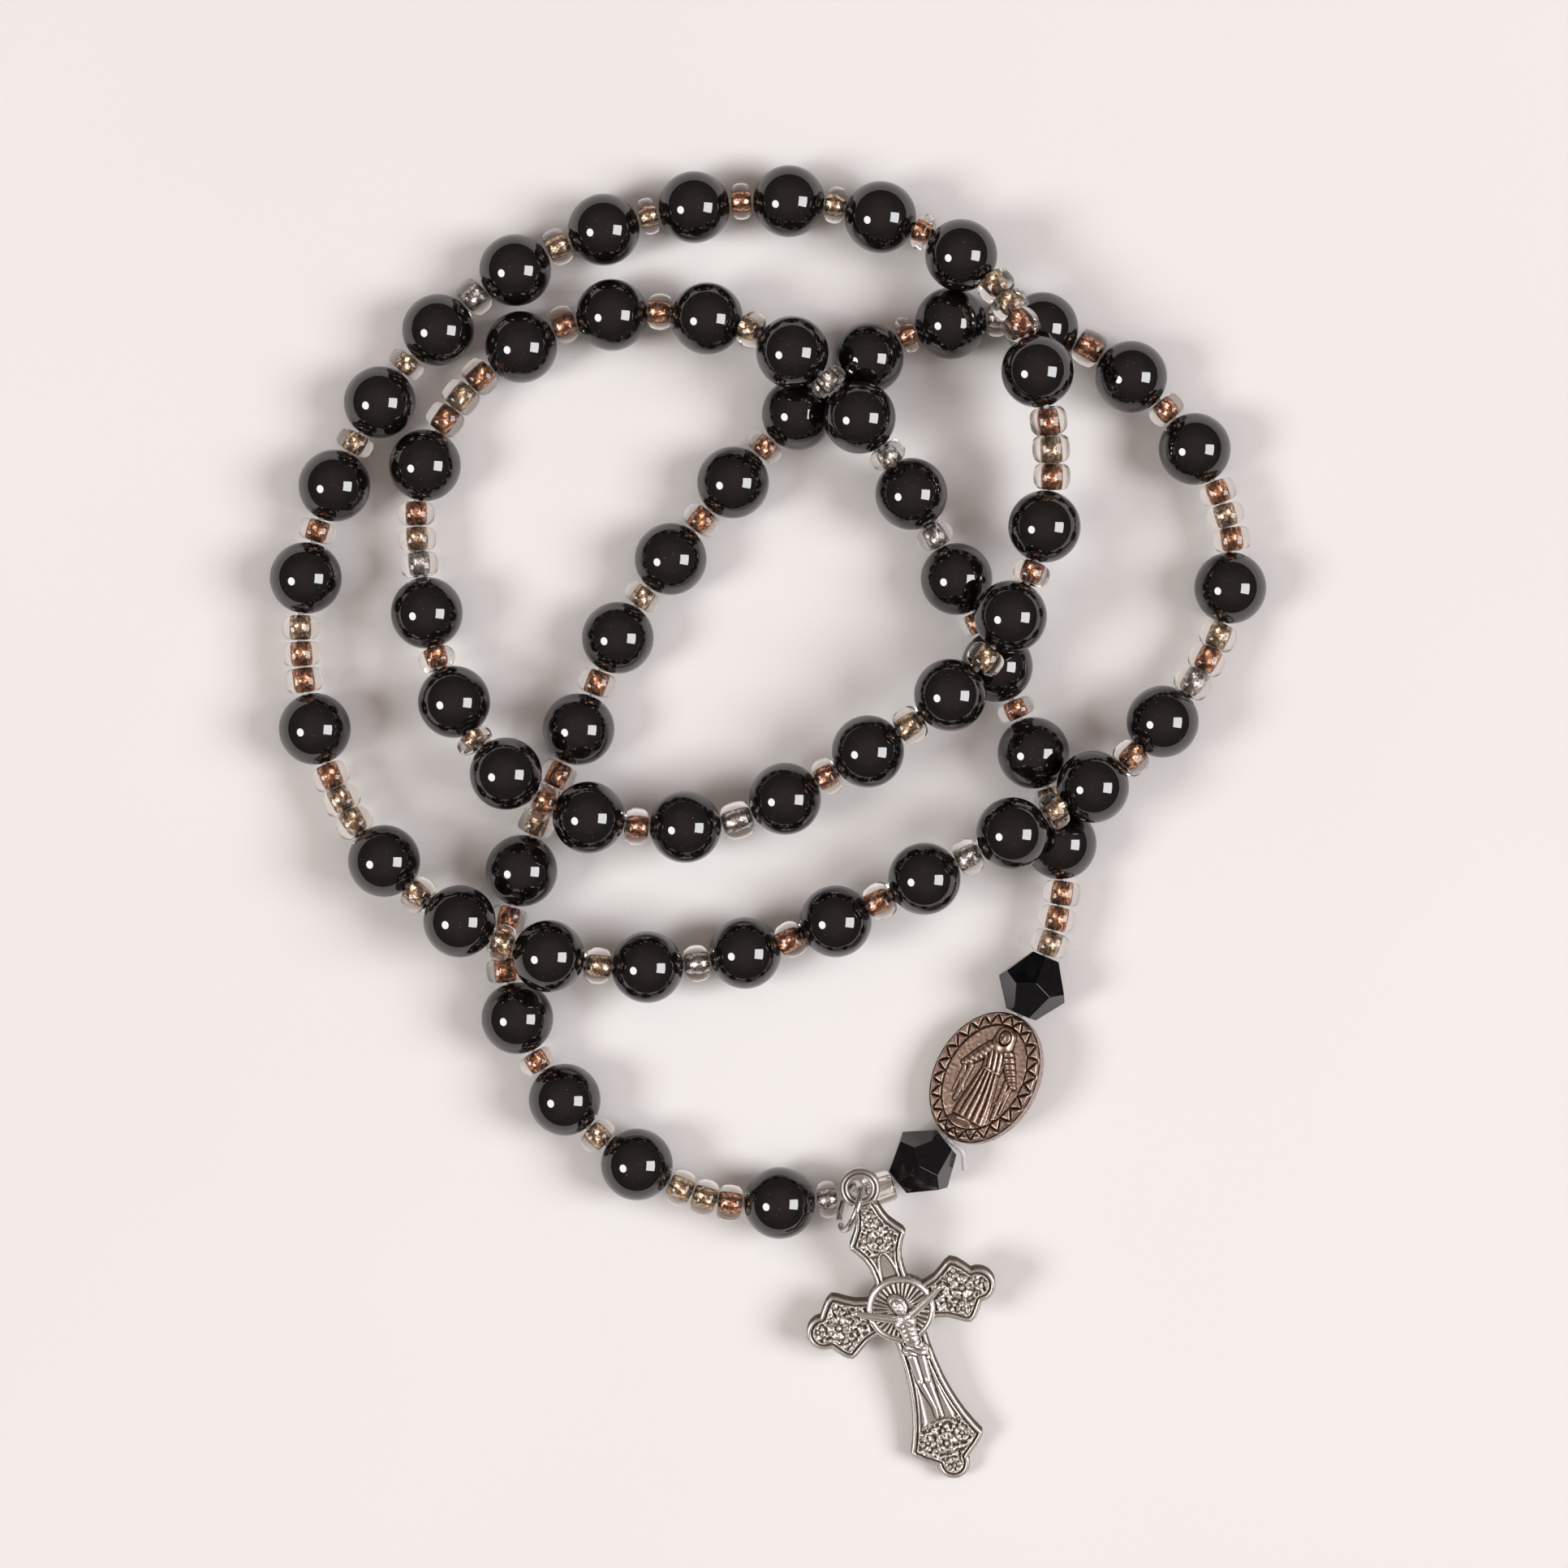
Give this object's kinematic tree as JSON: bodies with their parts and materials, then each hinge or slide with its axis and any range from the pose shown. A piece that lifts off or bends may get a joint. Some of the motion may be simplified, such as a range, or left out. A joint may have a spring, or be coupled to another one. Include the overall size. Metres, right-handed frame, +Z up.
{
  "type": "rosary",
  "caption": "Rosary of round black beads and clear glass spacers on a stretch cord, with a medal bead and a crucifix on a jump ring, laid in overlapping loops.",
  "frame": {"origin": "middle of the rosary's footprint, on the surface it lies on", "axes": "+Z up from the surface, +Y from the crucifix towards the far loops, +X to the right seen from above"},
  "size_m": [0.1106, 0.1461, 0.0148],
  "materials": {
    "black_bead": "polished opaque black",
    "faceted_black": "polished facets, opaque black",
    "clear_glass": "clear with a metallic lining in the hole",
    "antique_bronze": "antique brown bronze, dark in the hollows",
    "silver_metal": "satin silver plating",
    "silver_wire": "bright wire",
    "clear_elastic": "clear elastic thread"
  },
  "bodies": {
    "strand": {"stretch_cord": "clear_elastic", "cord_knot": "clear_elastic", "spacer_beads": "clear_glass", "our_father_beads": "black_bead", "pendant_beads": "black_bead"},
    "jump_ring": {"jump_ring": "silver_wire"},
    "crucifix": {"crucifix": "silver_metal"},
    "medal": {"medal": "antique_bronze"},
    "bicone_lower": {"bicone_lower": "faceted_black"},
    "bicone_upper": {"bicone_upper": "faceted_black"},
    "decade_1_bead_01": {"decade_1_bead_01": "black_bead"},
    "decade_1_bead_02": {"decade_1_bead_02": "black_bead"},
    "decade_1_bead_03": {"decade_1_bead_03": "black_bead"},
    "decade_1_bead_04": {"decade_1_bead_04": "black_bead"},
    "decade_1_bead_05": {"decade_1_bead_05": "black_bead"},
    "decade_1_bead_06": {"decade_1_bead_06": "black_bead"},
    "decade_1_bead_07": {"decade_1_bead_07": "black_bead"},
    "decade_1_bead_08": {"decade_1_bead_08": "black_bead"},
    "decade_1_bead_09": {"decade_1_bead_09": "black_bead"},
    "decade_1_bead_10": {"decade_1_bead_10": "black_bead"},
    "decade_2_bead_01": {"decade_2_bead_01": "black_bead"},
    "decade_2_bead_02": {"decade_2_bead_02": "black_bead"},
    "decade_2_bead_03": {"decade_2_bead_03": "black_bead"},
    "decade_2_bead_04": {"decade_2_bead_04": "black_bead"},
    "decade_2_bead_05": {"decade_2_bead_05": "black_bead"},
    "decade_2_bead_06": {"decade_2_bead_06": "black_bead"},
    "decade_2_bead_07": {"decade_2_bead_07": "black_bead"},
    "decade_2_bead_08": {"decade_2_bead_08": "black_bead"},
    "decade_2_bead_09": {"decade_2_bead_09": "black_bead"},
    "decade_2_bead_10": {"decade_2_bead_10": "black_bead"},
    "decade_3_bead_01": {"decade_3_bead_01": "black_bead"},
    "decade_3_bead_02": {"decade_3_bead_02": "black_bead"},
    "decade_3_bead_03": {"decade_3_bead_03": "black_bead"},
    "decade_3_bead_04": {"decade_3_bead_04": "black_bead"},
    "decade_3_bead_05": {"decade_3_bead_05": "black_bead"},
    "decade_3_bead_06": {"decade_3_bead_06": "black_bead"},
    "decade_3_bead_07": {"decade_3_bead_07": "black_bead"},
    "decade_3_bead_08": {"decade_3_bead_08": "black_bead"},
    "decade_3_bead_09": {"decade_3_bead_09": "black_bead"},
    "decade_3_bead_10": {"decade_3_bead_10": "black_bead"},
    "decade_4_bead_01": {"decade_4_bead_01": "black_bead"},
    "decade_4_bead_02": {"decade_4_bead_02": "black_bead"},
    "decade_4_bead_03": {"decade_4_bead_03": "black_bead"},
    "decade_4_bead_04": {"decade_4_bead_04": "black_bead"},
    "decade_4_bead_05": {"decade_4_bead_05": "black_bead"},
    "decade_4_bead_06": {"decade_4_bead_06": "black_bead"},
    "decade_4_bead_07": {"decade_4_bead_07": "black_bead"},
    "decade_4_bead_08": {"decade_4_bead_08": "black_bead"},
    "decade_4_bead_09": {"decade_4_bead_09": "black_bead"},
    "decade_4_bead_10": {"decade_4_bead_10": "black_bead"},
    "decade_5_bead_01": {"decade_5_bead_01": "black_bead"},
    "decade_5_bead_02": {"decade_5_bead_02": "black_bead"},
    "decade_5_bead_03": {"decade_5_bead_03": "black_bead"},
    "decade_5_bead_04": {"decade_5_bead_04": "black_bead"},
    "decade_5_bead_05": {"decade_5_bead_05": "black_bead"},
    "decade_5_bead_06": {"decade_5_bead_06": "black_bead"},
    "decade_5_bead_07": {"decade_5_bead_07": "black_bead"},
    "decade_5_bead_08": {"decade_5_bead_08": "black_bead"},
    "decade_5_bead_09": {"decade_5_bead_09": "black_bead"},
    "decade_5_bead_10": {"decade_5_bead_10": "black_bead"}
  },
  "joints": [
    {"name": "jump_ring_swivel", "type": "hinge", "parent": "strand", "child": "jump_ring", "pos_m": [0.01232, -0.04088, 0.00394], "axis": [-0.9446, -0.3277, 0.0164], "range_deg": [0, 75]},
    {"name": "crucifix_swing", "type": "hinge", "parent": "jump_ring", "child": "crucifix", "pos_m": [0.01006, -0.04075, 0.0068], "axis": [0.0422, -0.5772, 0.8155], "range_deg": [0, 30]},
    {"name": "medal_turn", "type": "hinge", "parent": "strand", "child": "medal", "pos_m": [0.02418, -0.02866, 0.00387], "axis": [-0.4919, -0.8706, -0.0015], "range_deg": [-45, 8]},
    {"name": "spin_bicone_lower", "type": "hinge", "parent": "strand", "child": "bicone_lower", "pos_m": [0.01703, -0.03797, 0.0039], "axis": [-0.7791, -0.6269, 0.002], "continuous": true},
    {"name": "spin_bicone_upper", "type": "hinge", "parent": "strand", "child": "bicone_upper", "pos_m": [0.02936, -0.01836, 0.00397], "axis": [-0.3907, -0.9204, -0.0105], "continuous": true},
    {"name": "turn_1_01", "type": "hinge", "parent": "strand", "child": "decade_1_bead_01", "pos_m": [-0.0211, 0.01009, 0.004], "axis": [0.3856, 0.9227, 0], "continuous": true},
    {"name": "turn_1_02", "type": "hinge", "parent": "strand", "child": "decade_1_bead_02", "pos_m": [-0.01675, 0.02023, 0.004], "axis": [0.4749, 0.8801, 0], "continuous": true},
    {"name": "turn_1_03", "type": "hinge", "parent": "strand", "child": "decade_1_bead_03", "pos_m": [-0.01088, 0.02898, 0.004], "axis": [0.6008, 0.7994, 0], "continuous": true},
    {"name": "turn_1_04", "type": "hinge", "parent": "strand", "child": "decade_1_bead_04", "pos_m": [-0.00395, 0.03747, 0.004], "axis": [0.6623, 0.7493, 0], "continuous": true},
    {"name": "turn_1_05", "type": "hinge", "parent": "strand", "child": "decade_1_bead_05", "pos_m": [0.00322, 0.04507, 0.004], "axis": [0.7254, 0.6883, 0], "continuous": true},
    {"name": "turn_1_06", "type": "hinge", "parent": "strand", "child": "decade_1_bead_06", "pos_m": [0.01098, 0.05127, 0.004], "axis": [0.8327, 0.5537, 0], "continuous": true},
    {"name": "turn_1_07", "type": "hinge", "parent": "strand", "child": "decade_1_bead_07", "pos_m": [0.02023, 0.05514, 0.004], "axis": [0.9835, 0.1811, 0], "continuous": true},
    {"name": "turn_1_08", "type": "hinge", "parent": "strand", "child": "decade_1_bead_08", "pos_m": [0.03037, 0.05461, 0.004], "axis": [0.9518, -0.3067, 0], "continuous": true},
    {"name": "turn_1_09", "type": "hinge", "parent": "strand", "child": "decade_1_bead_09", "pos_m": [0.04024, 0.0492, 0.004], "axis": [0.777, -0.6295, 0], "continuous": true},
    {"name": "turn_1_10", "type": "hinge", "parent": "strand", "child": "decade_1_bead_10", "pos_m": [0.04729, 0.04119, 0.004], "axis": [0.5399, -0.8417, 0], "continuous": true},
    {"name": "turn_2_01", "type": "hinge", "parent": "strand", "child": "decade_2_bead_01", "pos_m": [0.04362, 0.01091, 0.00563], "axis": [-0.6263, -0.7603, 0.172], "continuous": true},
    {"name": "turn_2_02", "type": "hinge", "parent": "strand", "child": "decade_2_bead_02", "pos_m": [0.03575, 0.00369, 0.00813], "axis": [-0.8047, -0.5237, 0.2796], "continuous": true},
    {"name": "turn_2_03", "type": "hinge", "parent": "strand", "child": "decade_2_bead_03", "pos_m": [0.02678, -0.00144, 0.00986], "axis": [-0.8817, -0.4718, -0.0029], "continuous": true},
    {"name": "turn_2_04", "type": "hinge", "parent": "strand", "child": "decade_2_bead_04", "pos_m": [0.01716, -0.00645, 0.0086], "axis": [-0.8726, -0.4435, -0.2048], "continuous": true},
    {"name": "turn_2_05", "type": "hinge", "parent": "strand", "child": "decade_2_bead_05", "pos_m": [0.00741, -0.0112, 0.00597], "axis": [-0.8948, -0.3948, -0.2084], "continuous": true},
    {"name": "turn_2_06", "type": "hinge", "parent": "strand", "child": "decade_2_bead_06", "pos_m": [-0.00262, -0.01473, 0.00476], "axis": [-0.9669, -0.2545, -0.0159], "continuous": true},
    {"name": "turn_2_07", "type": "hinge", "parent": "strand", "child": "decade_2_bead_07", "pos_m": [-0.01343, -0.01625, 0.00589], "axis": [-0.9814, -0.0199, 0.191], "continuous": true},
    {"name": "turn_2_08", "type": "hinge", "parent": "strand", "child": "decade_2_bead_08", "pos_m": [-0.02427, -0.01498, 0.00795], "axis": [-0.9586, 0.2401, 0.1533], "continuous": true},
    {"name": "turn_2_09", "type": "hinge", "parent": "strand", "child": "decade_2_bead_09", "pos_m": [-0.03407, -0.01114, 0.00803], "axis": [-0.8669, 0.4791, -0.1373], "continuous": true},
    {"name": "turn_2_10", "type": "hinge", "parent": "strand", "child": "decade_2_bead_10", "pos_m": [-0.04254, -0.00451, 0.00589], "axis": [-0.6561, 0.7191, -0.2291], "continuous": true},
    {"name": "turn_3_01", "type": "hinge", "parent": "strand", "child": "decade_3_bead_01", "pos_m": [-0.05137, 0.02687, 0.004], "axis": [0.1802, 0.9836, 0], "continuous": true},
    {"name": "turn_3_02", "type": "hinge", "parent": "strand", "child": "decade_3_bead_02", "pos_m": [-0.04819, 0.0371, 0.004], "axis": [0.3951, 0.9186, 0], "continuous": true},
    {"name": "turn_3_03", "type": "hinge", "parent": "strand", "child": "decade_3_bead_03", "pos_m": [-0.04316, 0.04636, 0.004], "axis": [0.5409, 0.8411, 0], "continuous": true},
    {"name": "turn_3_04", "type": "hinge", "parent": "strand", "child": "decade_3_bead_04", "pos_m": [-0.03669, 0.05439, 0.004], "axis": [0.7173, 0.6967, 0], "continuous": true},
    {"name": "turn_3_05", "type": "hinge", "parent": "strand", "child": "decade_3_bead_05", "pos_m": [-0.02814, 0.06103, 0.004], "axis": [0.8504, 0.5262, 0], "continuous": true},
    {"name": "turn_3_06", "type": "hinge", "parent": "strand", "child": "decade_3_bead_06", "pos_m": [-0.01831, 0.06553, 0.004], "axis": [0.9506, 0.3106, 0], "continuous": true},
    {"name": "turn_3_07", "type": "hinge", "parent": "strand", "child": "decade_3_bead_07", "pos_m": [-0.00827, 0.06803, 0.00402], "axis": [0.9875, 0.1578, 0.0064], "continuous": true},
    {"name": "turn_3_08", "type": "hinge", "parent": "strand", "child": "decade_3_bead_08", "pos_m": [0.00223, 0.06867, 0.0042], "axis": [0.9984, -0.0384, 0.0409], "continuous": true},
    {"name": "turn_3_09", "type": "hinge", "parent": "strand", "child": "decade_3_bead_09", "pos_m": [0.01238, 0.06679, 0.00532], "axis": [0.9352, -0.3117, 0.1679], "continuous": true},
    {"name": "turn_3_10", "type": "hinge", "parent": "strand", "child": "decade_3_bead_10", "pos_m": [0.02126, 0.06235, 0.00748], "axis": [0.762, -0.5914, 0.2637], "continuous": true},
    {"name": "turn_4_01", "type": "hinge", "parent": "strand", "child": "decade_4_bead_01", "pos_m": [0.03037, 0.03235, 0.00894], "axis": [-0.2182, -0.9754, 0.0317], "continuous": true},
    {"name": "turn_4_02", "type": "hinge", "parent": "strand", "child": "decade_4_bead_02", "pos_m": [0.02661, 0.02239, 0.00995], "axis": [-0.4698, -0.8729, 0.1313], "continuous": true},
    {"name": "turn_4_03", "type": "hinge", "parent": "strand", "child": "decade_4_bead_03", "pos_m": [0.01996, 0.01378, 0.01038], "axis": [-0.7526, -0.6488, -0.1125], "continuous": true},
    {"name": "turn_4_04", "type": "hinge", "parent": "strand", "child": "decade_4_bead_04", "pos_m": [0.01095, 0.00759, 0.00837], "axis": [-0.8383, -0.5131, -0.1844], "continuous": true},
    {"name": "turn_4_05", "type": "hinge", "parent": "strand", "child": "decade_4_bead_05", "pos_m": [0.00181, 0.00236, 0.00673], "axis": [-0.8801, -0.4582, -0.1243], "continuous": true},
    {"name": "turn_4_06", "type": "hinge", "parent": "strand", "child": "decade_4_bead_06", "pos_m": [-0.00921, -0.00074, 0.0064], "axis": [-0.9958, -0.0471, 0.0779], "continuous": true},
    {"name": "turn_4_07", "type": "hinge", "parent": "strand", "child": "decade_4_bead_07", "pos_m": [-0.01984, 0.00031, 0.00779], "axis": [-0.9534, 0.2502, 0.1689], "continuous": true},
    {"name": "turn_4_08", "type": "hinge", "parent": "strand", "child": "decade_4_bead_08", "pos_m": [-0.02894, 0.00513, 0.00859], "axis": [-0.7432, 0.667, -0.0527], "continuous": true},
    {"name": "turn_4_09", "type": "hinge", "parent": "strand", "child": "decade_4_bead_09", "pos_m": [-0.03474, 0.01308, 0.00686], "axis": [-0.4156, 0.8742, -0.2512], "continuous": true},
    {"name": "turn_4_10", "type": "hinge", "parent": "strand", "child": "decade_4_bead_10", "pos_m": [-0.0379, 0.02297, 0.00476], "axis": [-0.1859, 0.9731, -0.1362], "continuous": true},
    {"name": "turn_5_01", "type": "hinge", "parent": "strand", "child": "decade_5_bead_01", "pos_m": [-0.02748, 0.05251, 0.00402], "axis": [0.8501, 0.5265, 0.0073], "continuous": true},
    {"name": "turn_5_02", "type": "hinge", "parent": "strand", "child": "decade_5_bead_02", "pos_m": [-0.0174, 0.05604, 0.00443], "axis": [0.9907, 0.1143, 0.074], "continuous": true},
    {"name": "turn_5_03", "type": "hinge", "parent": "strand", "child": "decade_5_bead_03", "pos_m": [-0.00681, 0.0555, 0.00613], "axis": [0.9428, -0.2139, 0.2555], "continuous": true},
    {"name": "turn_5_04", "type": "hinge", "parent": "strand", "child": "decade_5_bead_04", "pos_m": [0.00262, 0.05156, 0.00866], "axis": [0.817, -0.5591, 0.1411], "continuous": true},
    {"name": "turn_5_05", "type": "hinge", "parent": "strand", "child": "decade_5_bead_05", "pos_m": [0.01002, 0.04436, 0.0087], "axis": [0.6257, -0.7696, -0.1275], "continuous": true},
    {"name": "turn_5_06", "type": "hinge", "parent": "strand", "child": "decade_5_bead_06", "pos_m": [0.01578, 0.03608, 0.00613], "axis": [0.4944, -0.8154, -0.3011], "continuous": true},
    {"name": "turn_5_07", "type": "hinge", "parent": "strand", "child": "decade_5_bead_07", "pos_m": [0.02085, 0.02675, 0.00421], "axis": [0.4371, -0.898, -0.051], "continuous": true},
    {"name": "turn_5_08", "type": "hinge", "parent": "strand", "child": "decade_5_bead_08", "pos_m": [0.02533, 0.01708, 0.00402], "axis": [0.4055, -0.9141, -0.0055], "continuous": true},
    {"name": "turn_5_09", "type": "hinge", "parent": "strand", "child": "decade_5_bead_09", "pos_m": [0.02939, 0.00745, 0.004], "axis": [0.3632, -0.9317, 0], "continuous": true},
    {"name": "turn_5_10", "type": "hinge", "parent": "strand", "child": "decade_5_bead_10", "pos_m": [0.03241, -0.00262, 0.004], "axis": [0.1487, -0.9889, 0], "continuous": true}
  ]
}
